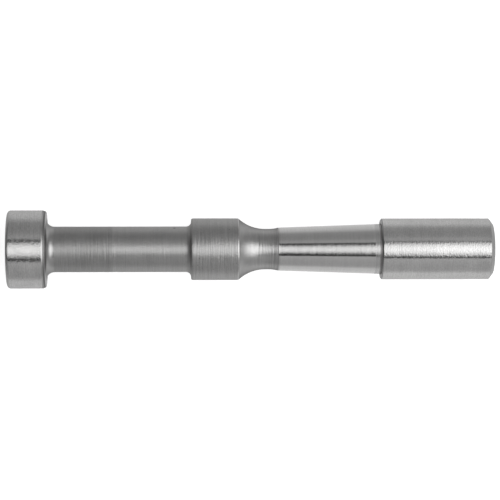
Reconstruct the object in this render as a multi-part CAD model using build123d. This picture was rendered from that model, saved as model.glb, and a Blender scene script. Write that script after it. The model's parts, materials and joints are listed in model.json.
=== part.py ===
from build123d import *

import math
import os

# Live center with a draw stem, in millimetres.
# The axis of rotation is X, and +X points to the nose, where the work is held. +Z is up.
# The origin is on the axis at the gauge plane, which is the rear face of the rotating head.
# Everything left of the gauge plane is the fixed draw stem, one turned and ground piece. Its
# journal reaches into the rotating head, which turns on a thrust ball bearing, a drawn cup needle
# bearing and a small deep groove ball bearing.

# ---- Draw stem, outside, from the gauge plane back to the tail face ----
GAUGE_LAND = 0.85  # plain land between the gauge plane and the taper
TAPER_LENGTH = 40.65
TAPER_RATIO = 15.0  # length over change of diameter
NECK_DEPTH = 0.6  # below the taper's small end
NECK_FLAT = 1.7
NECK_ARC_RADIUS = 15.8
COLLAR_OVER_HEAD = 0.15  # what the collar's radius has over the head's, so that a guide passes the head
COLLAR_LENGTH = 19.35
COLLAR_ROUND = 0.75
COLLAR_FILLET = 2.1
SHANK_DIAMETER = 18.65
SHANK_LENGTH = 59.1
PULL_FILLET = 3.3
PULL_HEAD_DIAMETER = 32.0
PULL_HEAD_LENGTH = 15.9
PULL_HEAD_ROUND = 1.45
PULL_CHAMFER_LENGTH = 1.4
PULL_CHAMFER_DEPTH = 0.5
LEAST_FACE = 0.2  # flat left beside a fillet that has to be smaller than it is named

# ---- Centre hole in the tail face, which the stem is ground on ----
CENTRE_ANGLE = 60.0
TAIL_CONE_DEPTH = 3.3
TAIL_PILOT_DIAMETER = 2.5
TAIL_PILOT_DEPTH = 3.7  # to the drill's point

# ---- Rotating head ----
HEAD_WALL = 2.0  # round the thrust bearing, where it is thinnest
REAR_EDGE_BREAK = 0.45
NOSE_CHAMFER_LENGTH = 1.65
NOSE_CHAMFER_DEPTH = 2.15
RIB_LENGTH = 4.0
RIB_HEIGHT = 0.8  # what the front bearing's outer ring stands against

# ---- Journal and rear seal ----
JOURNAL_DIAMETER = 12.0
SEAT_STEP = 1.5  # from the journal's radius down to the front bearing's seat
JOURNAL_TIP = 1.6  # what stands out past the circlip
TIP_CHAMFER = 0.5
SEAL_GROOVE_START = 0.95
SEAL_GROOVE_WIDTH = 1.6
SEAL_GROOVE_DEPTH = 1.2
SEAL_LIP = 0.3
SHOULDER_WALL = 0.65  # stem metal between the seal groove and the thrust washer

# ---- Thrust ball bearing, 12 x 21 x 5 ----
THRUST_WASHER = 1.55
THRUST_BALL_DIAMETER = 2.5
THRUST_BALL_SPACING = 1.1  # least cage metal between two balls
THRUST_CAGE_THICKNESS = 1.0
THRUST_CAGE_RIM = 0.45  # cage metal inside and outside the pockets

# ---- Drawn cup needle bearing, 12 x 18 x 12 ----
NEEDLE_DIAMETER = 1.94
NEEDLE_LENGTH = 12.0
NEEDLE_SPACING = 1.15  # least cage metal between two rollers, on their pitch circle
NEEDLE_CUP_WALL = 1.0
NEEDLE_CUP_LIP = 0.8
NEEDLE_CAGE_THICKNESS = 1.0
NEEDLE_CAGE_END = 0.8

# ---- Shielded ball bearing at the front of the journal, 9 x 17 x 5 ----
FRONT_BALL_DIAMETER = 2.2
FRONT_BALL_SPACING = 1.5
FRONT_RING_WALL = 1.2  # at the shoulders
FRONT_CAGE_THICKNESS = 1.0
FRONT_CAGE_WEB = 0.4  # closes the back of the pockets
FRONT_CAGE_FINGERS = 0.6  # from the balls' centre to the tips that snap round the balls
SHIELD_THICKNESS = 0.25
SHIELD_INSET = 0.25
SHIELD_SEAT = 0.25

# ---- What holds the front bearing on the journal ----
SPRING_THICKNESS = 0.35
SPRING_CONE = 0.3
SPRING_WIDTH = 1.6
SUPPORT_THICKNESS = 0.5
SUPPORT_WIDTH = 1.9
CIRCLIP_THICKNESS = 1.0
CIRCLIP_WIDTH = 1.3
CIRCLIP_GROOVE_DEPTH = 0.25
CIRCLIP_OPENING = 2.2  # between the two lugs
CIRCLIP_LUG_RADIUS = 1.2
CIRCLIP_LUG_FLAT = 0.2  # cut off each lug by the opening
CIRCLIP_EYE_DIAMETER = 1.1

# ---- Nose plug ----
PLUG_RECESS = 0.2
PLUG_SHOULDER = 0.5  # from the front bearing's bore up to the plug's thread, which is drawn plain
SPIGOT_LENGTH = 2.6
PLUG_WALL = 1.5  # behind the centre hole
NOSE_CONE_DEPTH = 6.8
NOSE_CONE_BREAK = 0.35
NOSE_PILOT_DIAMETER = 3.15
NOSE_PILOT_DEPTH = 2.1  # to the drill's point
SPANNER_HOLE_DIAMETER = 1.8
SPANNER_HOLE_DEPTH = 2.5
SPANNER_HOLE_COUNT = 2
O_RING_GROOVE_INSET = 0.5  # from the seat that the plug screws down on
O_RING_GROOVE_WIDTH = 1.25
O_RING_GROOVE_DEPTH = 1.0

# ---- Clearances ----
RACE_CLEARANCE = 0.03  # between a rolling element and each race
ROLLER_PLAY = 0.1  # between a rolling element and its pocket
FACE_GAP = 0.3  # between pieces that stand end to end without touching
THRUST_CAGE_GAP = 0.45  # between the thrust cage and all that it turns beside
FRONT_CAGE_GAP = 0.3  # between the crown cage and the shoulders
FRONT_SHIELD_GAP = 0.4  # between the crown cage and the rear shield
CUP_GAP = 0.4  # between the cup's lips and the journal
LAND_GAP = 0.25  # between the stem's land and the head's bore
WASHER_GAP = 0.2  # between a thrust washer and the piece that turns past its edge
SHIELD_GAP = 0.2  # between a shield and the inner ring
SEAL_GAP = 0.03  # between the seal's lip and the bore that turns on it
SEAL_BODY_GAP = 0.5  # between the rest of the seal and that bore
SPRING_GAP = 0.1  # between the springs' bores and the seat
TIP_GAP = 1.2  # between the journal's tip and the plug
SPIGOT_GAP = 0.05
GROOVE_GAP = 0.05  # between a ring and each side of its groove

# ---- Radii, from the journal outwards ----
centre_slope = math.tan(math.radians(CENTRE_ANGLE / 2))
journal_r = JOURNAL_DIAMETER / 2
seat_r = journal_r - SEAT_STEP
thrust_ball_r = THRUST_BALL_DIAMETER / 2
thrust_pitch_r = journal_r + THRUST_CAGE_GAP + THRUST_CAGE_RIM + ROLLER_PLAY + thrust_ball_r
thrust_bore_r = 2 * thrust_pitch_r - journal_r
needle_r = NEEDLE_DIAMETER / 2
needle_pitch_r = journal_r + RACE_CLEARANCE + needle_r
cup_bore_r = 2 * needle_pitch_r - journal_r
needle_bore_r = cup_bore_r + NEEDLE_CUP_WALL
front_ball_r = FRONT_BALL_DIAMETER / 2
inner_shoulder_r = seat_r + FRONT_RING_WALL
front_pitch_r = inner_shoulder_r + FRONT_CAGE_GAP + FRONT_CAGE_THICKNESS / 2
outer_shoulder_r = 2 * front_pitch_r - inner_shoulder_r
front_bore_r = outer_shoulder_r + FRONT_RING_WALL
rib_r = front_bore_r - RIB_HEIGHT
head_r = thrust_bore_r + HEAD_WALL
collar_r = head_r + COLLAR_OVER_HEAD
taper_large_r = thrust_bore_r - LAND_GAP
taper_small_r = taper_large_r - TAPER_LENGTH / TAPER_RATIO / 2
neck_r = taper_small_r - NECK_DEPTH
shank_r = SHANK_DIAMETER / 2
pull_head_r = PULL_HEAD_DIAMETER / 2
seal_groove_r = taper_large_r - SEAL_GROOVE_DEPTH
circlip_groove_r = seat_r - CIRCLIP_GROOVE_DEPTH
plug_r = front_bore_r + PLUG_SHOULDER
spigot_r = front_bore_r - SPIGOT_GAP
nose_cone_r = NOSE_PILOT_DIAMETER / 2 + NOSE_CONE_DEPTH * centre_slope
spanner_pitch_r = (nose_cone_r + NOSE_CONE_BREAK + plug_r) / 2
pull_fillet_r = min(PULL_FILLET, pull_head_r - PULL_CHAMFER_DEPTH - shank_r - LEAST_FACE)
collar_fillet_r = min(COLLAR_FILLET, collar_r - COLLAR_ROUND - shank_r - LEAST_FACE)


def arc_run(rise):
    """How far along the axis the neck's arc goes while it rises that much from the flat."""
    return math.sqrt(NECK_ARC_RADIUS**2 - (NECK_ARC_RADIUS - rise) ** 2)


def count_round(pitch_r, diameter, spacing):
    """How many rolling elements go round a pitch circle."""
    return int(2 * math.pi * pitch_r / (diameter + spacing))


# ---- Places along the axis, back from the gauge plane ----
taper_large_x = -GAUGE_LAND
taper_small_x = taper_large_x - TAPER_LENGTH
neck_front_x = taper_small_x - arc_run(taper_small_r - neck_r)
neck_rear_x = neck_front_x - NECK_FLAT
collar_front_x = neck_rear_x - arc_run(collar_r - neck_r)
collar_rear_x = collar_front_x - COLLAR_LENGTH
pull_face_x = collar_rear_x - SHANK_LENGTH
tail_x = pull_face_x - PULL_HEAD_LENGTH

# ---- Places along the axis, forward from the gauge plane ----
thrust_x = SEAL_GROOVE_START + SEAL_GROOVE_WIDTH + SHOULDER_WALL
thrust_centre_x = thrust_x + THRUST_WASHER + THRUST_CAGE_GAP + THRUST_CAGE_THICKNESS / 2
needle_bore_x = 2 * thrust_centre_x - thrust_x
needle_x = needle_bore_x + FACE_GAP
needle_centre_x = needle_x + NEEDLE_LENGTH / 2
needle_cage_length = NEEDLE_LENGTH - 2 * NEEDLE_CUP_LIP - FACE_GAP
needle_slot_length = needle_cage_length - 2 * NEEDLE_CAGE_END
rib_x = needle_x + NEEDLE_LENGTH + FACE_GAP
front_x = rib_x + RIB_LENGTH
front_cage_back = front_ball_r + ROLLER_PLAY + FRONT_CAGE_WEB
front_centre_x = front_x + SHIELD_INSET + SHIELD_THICKNESS + FRONT_SHIELD_GAP + front_cage_back
front_width = 2 * (front_centre_x - front_x)
journal_end_x = front_x - FACE_GAP
spring_x = front_x + front_width
spring_height = SPRING_THICKNESS + SPRING_CONE
support_x = spring_x + 2 * spring_height
circlip_x = support_x + SUPPORT_THICKNESS
stem_end_x = circlip_x + CIRCLIP_THICKNESS + JOURNAL_TIP
plug_rear_x = stem_end_x + TIP_GAP
plug_seat_x = plug_rear_x + SPIGOT_LENGTH
plug_face_x = plug_rear_x + PLUG_WALL + NOSE_PILOT_DEPTH + NOSE_CONE_DEPTH
head_length = plug_face_x + PLUG_RECESS
o_ring_groove_x = plug_seat_x - O_RING_GROOVE_INSET - O_RING_GROOVE_WIDTH

thrust_ball_count = count_round(thrust_pitch_r, THRUST_BALL_DIAMETER, THRUST_BALL_SPACING)
needle_count = count_round(needle_pitch_r, NEEDLE_DIAMETER, NEEDLE_SPACING)
front_ball_count = count_round(front_pitch_r, FRONT_BALL_DIAMETER, FRONT_BALL_SPACING)


def turned(*outline):
    """Turns a closed outline of (x, radius) points round the axis."""
    return revolve(make_face(Polyline(*outline, close=True)), Axis.X)


def tube(x, length, inner_r, outer_r):
    """A plain ring that begins at x."""
    return turned((x, inner_r), (x + length, inner_r), (x + length, outer_r), (x, outer_r))


def torus_round_axis(x, pitch_r, section_r):
    """A ring of round section, for race grooves and the O-ring."""
    return revolve(Pos(x, pitch_r) * Circle(section_r), Axis.X)


def around(count, shape):
    """Copies of the shape, evenly round the axis."""
    return [Rot(360 / count * step, 0, 0) * shape for step in range(count)]


def less(solid, cutters):
    """Takes every cutter from the solid."""
    for cutter in cutters:
        solid = solid - cutter
    return solid


def arc_about(centre, start, end):
    """The short arc from start to end round a centre, all as (x, radius)."""
    middle = (Vector(*start) + Vector(*end)) / 2 - Vector(*centre)
    reach = (Vector(*start) - Vector(*centre)).length
    return ThreePointArc(start, Vector(*centre) + middle.normalized() * reach, end)


def centre_hole(face_x, inwards, pilot_r, cone_depth, pilot_depth):
    """A centre hole with a 60 degree cone; inwards is +1 or -1 along the axis."""
    outside = face_x - inwards * cone_depth
    cone_end = face_x + inwards * cone_depth
    point = cone_end + inwards * pilot_depth
    bottom = point - inwards * pilot_r * centre_slope
    return turned(
        (outside, 0),
        (outside, pilot_r + 2 * cone_depth * centre_slope),
        (cone_end, pilot_r),
        (bottom, pilot_r),
        (point, 0),
    )


def stem_blank():
    """The stem as turned and ground, before its grooves and centre hole."""
    pull_corner = (tail_x + PULL_HEAD_ROUND, pull_head_r - PULL_HEAD_ROUND)
    pull_fillet = (pull_face_x + pull_fillet_r, shank_r + pull_fillet_r)
    collar_fillet = (collar_rear_x - collar_fillet_r, shank_r + collar_fillet_r)
    collar_corner = (collar_rear_x + COLLAR_ROUND, collar_r - COLLAR_ROUND)
    neck_rear = (neck_rear_x, neck_r + NECK_ARC_RADIUS)
    neck_front = (neck_front_x, neck_r + NECK_ARC_RADIUS)
    outline = [
        arc_about(pull_corner, (tail_x, pull_corner[1]), (pull_corner[0], pull_head_r)),
        Line((pull_corner[0], pull_head_r), (pull_face_x - PULL_CHAMFER_LENGTH, pull_head_r)),
        Line(
            (pull_face_x - PULL_CHAMFER_LENGTH, pull_head_r), (pull_face_x, pull_head_r - PULL_CHAMFER_DEPTH)
        ),
        Line((pull_face_x, pull_head_r - PULL_CHAMFER_DEPTH), (pull_face_x, pull_fillet[1])),
        arc_about(pull_fillet, (pull_face_x, pull_fillet[1]), (pull_fillet[0], shank_r)),
        Line((pull_fillet[0], shank_r), (collar_fillet[0], shank_r)),
        arc_about(collar_fillet, (collar_fillet[0], shank_r), (collar_rear_x, collar_fillet[1])),
        Line((collar_rear_x, collar_fillet[1]), (collar_rear_x, collar_corner[1])),
        arc_about(collar_corner, (collar_rear_x, collar_corner[1]), (collar_corner[0], collar_r)),
        Line((collar_corner[0], collar_r), (collar_front_x, collar_r)),
        arc_about(neck_rear, (collar_front_x, collar_r), (neck_rear_x, neck_r)),
        Line((neck_rear_x, neck_r), (neck_front_x, neck_r)),
        arc_about(neck_front, (neck_front_x, neck_r), (taper_small_x, taper_small_r)),
        Line((taper_small_x, taper_small_r), (taper_large_x, taper_large_r)),
        Polyline(
            (taper_large_x, taper_large_r),
            (thrust_x, taper_large_r),
            (thrust_x, journal_r),
            (journal_end_x, journal_r),
            (journal_end_x, seat_r),
            (stem_end_x - TIP_CHAMFER, seat_r),
            (stem_end_x, seat_r - TIP_CHAMFER),
            (stem_end_x, 0),
            (tail_x, 0),
            (tail_x, pull_corner[1]),
        ),
    ]
    return revolve(make_face(Curve() + outline), Axis.X)


def draw_stem():
    """The fixed piece: pull head, shank, collar, neck, taper, land and journal."""
    seal_groove = tube(SEAL_GROOVE_START, SEAL_GROOVE_WIDTH, seal_groove_r, head_r)
    circlip_groove = tube(
        circlip_x - GROOVE_GAP, CIRCLIP_THICKNESS + 2 * GROOVE_GAP, circlip_groove_r, journal_r
    )
    tail_centre = centre_hole(tail_x, 1, TAIL_PILOT_DIAMETER / 2, TAIL_CONE_DEPTH, TAIL_PILOT_DEPTH)
    return less(stem_blank(), [seal_groove, circlip_groove, tail_centre])


def live_head():
    """The rotating shell with its bores, the rib for the front bearing and the plug's thread."""
    return turned(
        (0, thrust_bore_r),
        (needle_bore_x, thrust_bore_r),
        (needle_bore_x, needle_bore_r),
        (rib_x, needle_bore_r),
        (rib_x, rib_r),
        (front_x, rib_r),
        (front_x, front_bore_r),
        (plug_seat_x, front_bore_r),
        (plug_seat_x, plug_r),
        (head_length, plug_r),
        (head_length, head_r - NOSE_CHAMFER_DEPTH),
        (head_length - NOSE_CHAMFER_LENGTH, head_r),
        (REAR_EDGE_BREAK, head_r),
        (0, head_r - REAR_EDGE_BREAK),
    )


def rear_seal():
    """A ring in the land's groove, with a narrow lip towards the head's bore."""
    rear = SEAL_GROOVE_START + GROOVE_GAP
    front = SEAL_GROOVE_START + SEAL_GROOVE_WIDTH - GROOVE_GAP
    middle = (rear + front) / 2
    lip_r = thrust_bore_r - SEAL_GAP
    body_r = thrust_bore_r - SEAL_BODY_GAP
    return turned(
        (rear, seal_groove_r),
        (front, seal_groove_r),
        (front, body_r),
        (middle + SEAL_LIP / 2, lip_r),
        (middle - SEAL_LIP / 2, lip_r),
        (rear, body_r),
    )


def thrust_washers():
    """The fixed washer on the journal and the one that turns in the head's bore."""
    race = torus_round_axis(thrust_centre_x, thrust_pitch_r, thrust_ball_r + RACE_CLEARANCE)
    shaft = tube(thrust_x, THRUST_WASHER, journal_r, thrust_bore_r - WASHER_GAP)
    housing = tube(
        needle_bore_x - THRUST_WASHER, THRUST_WASHER, journal_r + WASHER_GAP, thrust_bore_r
    )
    return shaft - race, housing - race


def thrust_balls():
    """One ring of balls between the washers."""
    return around(thrust_ball_count, Pos(thrust_centre_x, thrust_pitch_r, 0) * Sphere(thrust_ball_r))


def thrust_cage():
    """A flat ring with a through pocket for each ball."""
    ring = tube(
        thrust_centre_x - THRUST_CAGE_THICKNESS / 2,
        THRUST_CAGE_THICKNESS,
        journal_r + THRUST_CAGE_GAP,
        thrust_bore_r - THRUST_CAGE_GAP,
    )
    pocket = (
        Pos(thrust_centre_x, thrust_pitch_r, 0)
        * Rot(0, 90, 0)
        * Cylinder(thrust_ball_r + ROLLER_PLAY, 2 * THRUST_CAGE_THICKNESS)
    )
    return less(ring, around(thrust_ball_count, pocket))


def needle_cup():
    """The drawn cup, with a lip turned in at each end."""
    end_x = needle_x + NEEDLE_LENGTH
    lip_r = journal_r + CUP_GAP
    return turned(
        (needle_x, lip_r),
        (needle_x + NEEDLE_CUP_LIP, lip_r),
        (needle_x + NEEDLE_CUP_LIP, cup_bore_r),
        (end_x - NEEDLE_CUP_LIP, cup_bore_r),
        (end_x - NEEDLE_CUP_LIP, lip_r),
        (end_x, lip_r),
        (end_x, needle_bore_r),
        (needle_x, needle_bore_r),
    )


def needle_rollers():
    """Rollers that run straight on the hardened journal."""
    roller = (
        Pos(needle_centre_x, needle_pitch_r, 0)
        * Rot(0, 90, 0)
        * Cylinder(needle_r, needle_slot_length - 2 * ROLLER_PLAY)
    )
    return around(needle_count, roller)


def needle_cage():
    """A sleeve with a slot for each roller."""
    sleeve = tube(
        needle_centre_x - needle_cage_length / 2,
        needle_cage_length,
        needle_pitch_r - NEEDLE_CAGE_THICKNESS / 2,
        needle_pitch_r + NEEDLE_CAGE_THICKNESS / 2,
    )
    slot = Pos(needle_centre_x, needle_pitch_r, 0) * Box(
        needle_slot_length, 2 * NEEDLE_CAGE_THICKNESS, 2 * (needle_r + ROLLER_PLAY)
    )
    return less(sleeve, around(needle_count, slot))


def front_bearing_rings():
    """Inner and outer ring, each with its race; the outer ring has a seat for each shield."""
    race = torus_round_axis(front_centre_x, front_pitch_r, front_ball_r + RACE_CLEARANCE)
    inner = tube(front_x, front_width, seat_r, inner_shoulder_r)
    outer = tube(front_x, front_width, outer_shoulder_r, front_bore_r)
    seats = [
        tube(x, SHIELD_THICKNESS, inner_shoulder_r, outer_shoulder_r + SHIELD_SEAT) for x in shield_places()
    ]
    return inner - race, less(outer, [race, *seats])


def shield_places():
    """Where the rear and the front shield begin."""
    return front_x + SHIELD_INSET, front_x + front_width - SHIELD_INSET - SHIELD_THICKNESS


def shields():
    """The two thin shields, snapped into the outer ring."""
    return [
        tube(x, SHIELD_THICKNESS, inner_shoulder_r + SHIELD_GAP, outer_shoulder_r + SHIELD_SEAT)
        for x in shield_places()
    ]


def front_bearing_balls():
    """One ring of balls between the rings."""
    return around(front_ball_count, Pos(front_centre_x, front_pitch_r, 0) * Sphere(front_ball_r))


def front_bearing_cage():
    """A crown cage, closed at the back and open towards the nose."""
    crown = tube(
        front_centre_x - front_cage_back,
        front_cage_back + FRONT_CAGE_FINGERS,
        front_pitch_r - FRONT_CAGE_THICKNESS / 2,
        front_pitch_r + FRONT_CAGE_THICKNESS / 2,
    )
    pocket = (
        Pos(front_centre_x, front_pitch_r, 0)
        * Rot(90, 0, 0)
        * Cylinder(front_ball_r + ROLLER_PLAY, 2 * FRONT_CAGE_THICKNESS)
    )
    return less(crown, around(front_ball_count, pocket))


def preload_springs():
    """Two disc springs, stacked rim to rim, so that both press with their bores."""
    inner_r = seat_r + SPRING_GAP
    rim_r = inner_r + SPRING_WIDTH
    middle_x = spring_x + spring_height
    rear = turned(
        (spring_x, inner_r),
        (spring_x + SPRING_THICKNESS, inner_r),
        (middle_x, rim_r),
        (middle_x - SPRING_THICKNESS, rim_r),
    )
    return rear, mirror(rear, Plane.YZ.offset(middle_x))


def spring_support_washer():
    """The flat washer between the springs and the circlip."""
    return tube(support_x, SUPPORT_THICKNESS, seat_r + SPRING_GAP, seat_r + SPRING_GAP + SUPPORT_WIDTH)


def journal_circlip():
    """An open ring in the journal's groove, with an eye in each lug for the pliers."""
    ring_r = circlip_groove_r + CIRCLIP_WIDTH
    lug_y = CIRCLIP_OPENING / 2 + CIRCLIP_LUG_RADIUS - CIRCLIP_LUG_FLAT
    lug_z = math.sqrt(ring_r**2 - lug_y**2)
    places = [Pos(-lug_y, lug_z), Pos(lug_y, lug_z)]
    lugs = [place * Circle(CIRCLIP_LUG_RADIUS) for place in places]
    eyes = [place * Circle(CIRCLIP_EYE_DIAMETER / 2) for place in places]
    opening = Pos(0, ring_r) * Rectangle(CIRCLIP_OPENING, 2 * ring_r)
    flat = less(Circle(ring_r) + lugs, [Circle(circlip_groove_r), opening, *eyes])
    return extrude(Plane.YZ.offset(circlip_x) * flat, CIRCLIP_THICKNESS)


def nose_plug():
    """Closes the head; its female centre holds the work, and a pin spanner turns it."""
    body = turned(
        (plug_rear_x, 0),
        (plug_face_x, 0),
        (plug_face_x, plug_r),
        (plug_seat_x, plug_r),
        (plug_seat_x, spigot_r),
        (plug_rear_x, spigot_r),
    )
    groove = tube(o_ring_groove_x, O_RING_GROOVE_WIDTH, spigot_r - O_RING_GROOVE_DEPTH, plug_r)
    cone = centre_hole(plug_face_x, -1, NOSE_PILOT_DIAMETER / 2, NOSE_CONE_DEPTH, NOSE_PILOT_DEPTH)
    edge = turned(
        (plug_face_x + NOSE_CONE_BREAK, 0),
        (plug_face_x + NOSE_CONE_BREAK, nose_cone_r + 2 * NOSE_CONE_BREAK),
        (plug_face_x - NOSE_CONE_BREAK, nose_cone_r),
        (plug_face_x - NOSE_CONE_BREAK, 0),
    )
    spanner_hole = (
        Pos(plug_face_x, spanner_pitch_r, 0)
        * Rot(0, 90, 0)
        * Cylinder(SPANNER_HOLE_DIAMETER / 2, 2 * SPANNER_HOLE_DEPTH)
    )
    return less(body, [groove, cone, edge, *around(SPANNER_HOLE_COUNT, spanner_hole)])


def nose_plug_o_ring():
    """The O-ring, pressed between its groove and the head's bore."""
    bottom_r = spigot_r - O_RING_GROOVE_DEPTH
    section_r = (front_bore_r - bottom_r) / 2
    return torus_round_axis(o_ring_groove_x + O_RING_GROOVE_WIDTH / 2, bottom_r + section_r, section_r)


def main():
    """Makes each piece and writes it to its own file."""
    shaft_washer, housing_washer = thrust_washers()
    inner_ring, outer_ring = front_bearing_rings()
    rear_shield, front_shield = shields()
    rear_spring, front_spring = preload_springs()
    pieces = {
        "draw_stem": draw_stem(),
        "rear_seal": rear_seal(),
        "thrust_shaft_washer": shaft_washer,
        "thrust_balls": thrust_balls(),
        "thrust_cage": thrust_cage(),
        "thrust_housing_washer": housing_washer,
        "needle_cup": needle_cup(),
        "needle_rollers": needle_rollers(),
        "needle_cage": needle_cage(),
        "front_bearing_inner_ring": inner_ring,
        "front_bearing_outer_ring": outer_ring,
        "front_bearing_balls": front_bearing_balls(),
        "front_bearing_cage": front_bearing_cage(),
        "rear_shield": rear_shield,
        "front_shield": front_shield,
        "preload_spring_rear": rear_spring,
        "preload_spring_front": front_spring,
        "spring_support_washer": spring_support_washer(),
        "journal_circlip": journal_circlip(),
        "live_head": live_head(),
        "nose_plug": nose_plug(),
        "nose_plug_o_ring": nose_plug_o_ring(),
    }
    os.makedirs("parts", exist_ok=True)
    for node, shape in pieces.items():
        solids = Compound(children=shape) if isinstance(shape, list) else shape
        export_step(solids, f"parts/{node}.step")


main()
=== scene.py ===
"""A live center with a draw stem, lying on a pale table under soft studio light.

The axis of rotation is X, +X points to the nose and +Z is up, in metres. The stem, the rotating
head and the nose plug are turned shapes: an outline of (x, radius) corners is carried round the
axis. The bearings, seals, springs and rings inside keep their CAD meshes and get finishes here.
"""

import json
import logging
import math
from dataclasses import dataclass
from enum import Enum

import bpy
import numpy as np
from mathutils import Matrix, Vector


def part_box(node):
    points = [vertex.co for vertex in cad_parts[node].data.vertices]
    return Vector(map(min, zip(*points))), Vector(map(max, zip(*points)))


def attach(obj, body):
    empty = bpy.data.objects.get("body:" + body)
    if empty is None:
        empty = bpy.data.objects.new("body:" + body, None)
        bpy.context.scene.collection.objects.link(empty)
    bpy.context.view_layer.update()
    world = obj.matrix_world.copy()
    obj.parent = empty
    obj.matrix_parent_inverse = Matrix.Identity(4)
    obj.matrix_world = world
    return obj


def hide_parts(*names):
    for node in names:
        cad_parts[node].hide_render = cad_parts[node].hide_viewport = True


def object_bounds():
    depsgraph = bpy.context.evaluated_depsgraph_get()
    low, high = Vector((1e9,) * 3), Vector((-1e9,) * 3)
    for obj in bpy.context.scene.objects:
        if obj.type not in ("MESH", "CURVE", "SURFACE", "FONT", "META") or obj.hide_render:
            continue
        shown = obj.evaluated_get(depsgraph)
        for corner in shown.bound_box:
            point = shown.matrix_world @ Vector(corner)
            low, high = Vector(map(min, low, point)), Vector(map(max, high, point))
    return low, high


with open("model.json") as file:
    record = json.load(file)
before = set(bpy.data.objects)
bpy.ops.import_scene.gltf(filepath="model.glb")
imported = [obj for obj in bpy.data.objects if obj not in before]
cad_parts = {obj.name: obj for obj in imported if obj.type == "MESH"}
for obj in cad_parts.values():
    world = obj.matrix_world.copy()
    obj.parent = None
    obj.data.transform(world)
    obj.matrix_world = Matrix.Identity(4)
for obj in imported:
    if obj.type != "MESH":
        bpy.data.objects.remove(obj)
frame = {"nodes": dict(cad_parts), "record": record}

CAD_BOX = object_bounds()
LOG = logging.getLogger("live_center")
MM = 0.001
AROUND = 256  # facets round every turned piece
ARC_STEP = math.radians(4.0)  # largest turn of one facet along a rounded corner
LONGEST_FACET = 8.0 * MM
WELD = 1e-7  # corners nearer to each other than this many metres become one vertex
Point = tuple[float, float]
Triple = tuple[float, float, float]
Pair = tuple[np.ndarray, np.ndarray]
Marks = tuple[Point, ...]
Socket = bpy.types.NodeSocket


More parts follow.
